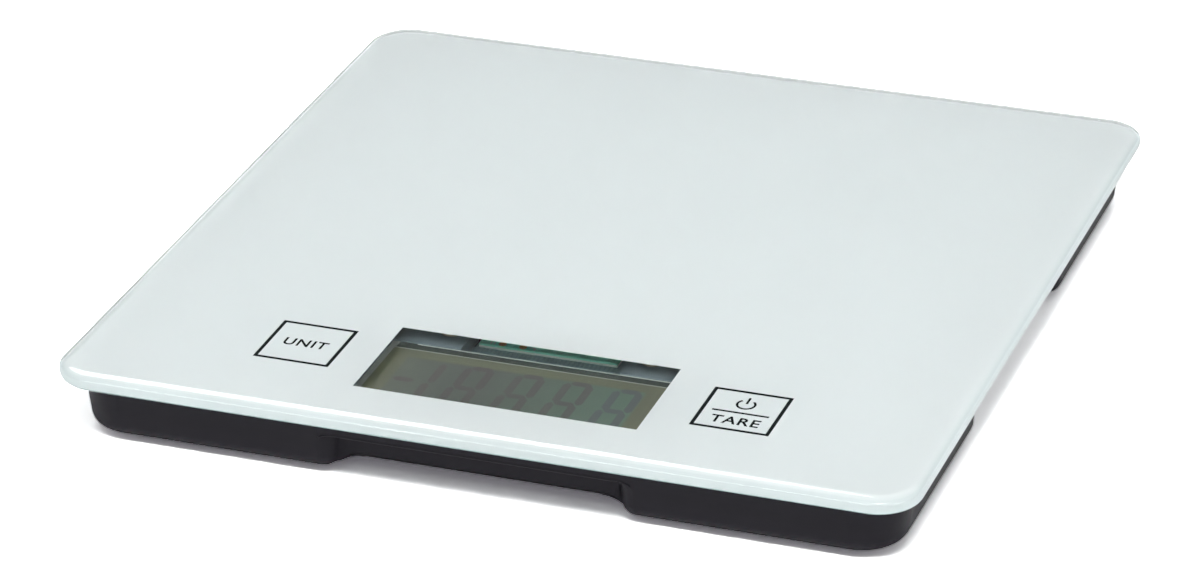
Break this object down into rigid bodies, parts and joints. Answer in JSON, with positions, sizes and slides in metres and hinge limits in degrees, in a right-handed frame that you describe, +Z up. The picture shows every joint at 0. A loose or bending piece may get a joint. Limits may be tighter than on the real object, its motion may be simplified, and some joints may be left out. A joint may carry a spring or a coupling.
{
  "type": "kitchen scale",
  "caption": "Slim square kitchen scale: white-backed glass plate with a display window and touch keys, on a shallow black tray with finger recesses and weighing feet.",
  "frame": {"origin": "on the table, under the middle of the glass plate", "axes": "+Z up out of the plate, -Y towards the user at the display edge, +X to the user's right"},
  "size_m": [0.2, 0.2, 0.018],
  "materials": {
    "plate_glass": "clear tempered glass with white enamel printed on its back",
    "adhesive": "matt black adhesive foam",
    "tray_plastic": "black moulded plastic with a fine satin grain",
    "pad_rubber": "matt black rubber",
    "foot_plastic": "black moulded plastic",
    "cell_steel": "stamped steel",
    "retainer_plastic": "natural white plastic",
    "gauge_film": "amber film",
    "screw_steel": "zinc plated",
    "lead_insulation": "soft vinyl",
    "connector_plastic": "natural white plastic",
    "board_laminate": "green solder mask over laminate",
    "epoxy": "black epoxy",
    "chip_ceramic": "fired ceramic",
    "holder_plastic": "dark grey moulded plastic",
    "flex_film": "dark printed film",
    "display_glass": "clear thin glass",
    "polariser_film": "olive grey polarising film",
    "reflector_film": "grey reflector film",
    "copper_foil": "copper foil",
    "cell_can": "nickel plated steel",
    "contact_brass": "sprung brass strip"
  },
  "bodies": {
    "base": {"adhesive_ring": "adhesive", "base_tray": "tray_plastic", "battery_cell": "cell_can", "battery_contact_negative": "contact_brass", "battery_contact_positive": "contact_brass", "battery_leads": "lead_insulation", "board_components": "chip_ceramic", "board_screws": "screw_steel", "cell_lead_back_left": "lead_insulation", "cell_lead_back_right": "lead_insulation", "cell_lead_front_left": "lead_insulation", "cell_lead_front_right": "lead_insulation", "cell_retainer_back_left": "retainer_plastic", "cell_retainer_back_right": "retainer_plastic", "cell_retainer_front_left": "retainer_plastic", "cell_retainer_front_right": "retainer_plastic", "circuit_board": "board_laminate", "controller_blob": "epoxy", "electrode_leads": "lead_insulation", "glass_platform": "plate_glass", "key_electrode_tare": "copper_foil", "key_electrode_unit": "copper_foil", "lcd_flex": "flex_film", "lcd_frame": "holder_plastic", "lcd_front_glass": "display_glass", "lcd_polariser": "polariser_film", "lcd_rear_glass": "display_glass", "lcd_reflector": "reflector_film", "lcd_screws": "screw_steel", "lead_connectors": "connector_plastic", "load_cell_back_left": "cell_steel", "load_cell_back_right": "cell_steel", "load_cell_front_left": "cell_steel", "load_cell_front_right": "cell_steel", "retainer_screws": "screw_steel", "strain_gauges": "gauge_film"},
    "front_left_foot": {"foot_front_left": "foot_plastic", "foot_pad_front_left": "pad_rubber"},
    "front_right_foot": {"foot_front_right": "foot_plastic", "foot_pad_front_right": "pad_rubber"},
    "back_right_foot": {"foot_back_right": "foot_plastic", "foot_pad_back_right": "pad_rubber"},
    "back_left_foot": {"foot_back_left": "foot_plastic", "foot_pad_back_left": "pad_rubber"},
    "door": {"battery_door": "tray_plastic"}
  },
  "joints": [
    {"name": "foot_press_front_left", "type": "slide", "parent": "base", "child": "front_left_foot", "axis": [0, 0, 1], "range_m": [0, 0.0005], "stiffness_N_per_m": 200, "springref_m": -0.008, "deforming": ["load_cell_front_left"]},
    {"name": "foot_press_front_right", "type": "slide", "parent": "base", "child": "front_right_foot", "axis": [0, 0, 1], "range_m": [0, 0.0005], "stiffness_N_per_m": 200, "springref_m": -0.008, "deforming": ["load_cell_front_right"]},
    {"name": "foot_press_back_right", "type": "slide", "parent": "base", "child": "back_right_foot", "axis": [0, 0, 1], "range_m": [0, 0.0005], "stiffness_N_per_m": 200, "springref_m": -0.008, "deforming": ["load_cell_back_right"]},
    {"name": "foot_press_back_left", "type": "slide", "parent": "base", "child": "back_left_foot", "axis": [0, 0, 1], "range_m": [0, 0.0005], "stiffness_N_per_m": 200, "springref_m": -0.008, "deforming": ["load_cell_back_left"]},
    {"name": "battery_door_hinge", "type": "hinge", "parent": "base", "child": "door", "pos_m": [0, 0.009, 0.0051], "axis": [-1, 0, 0], "range_deg": [0, 85]}
  ]
}
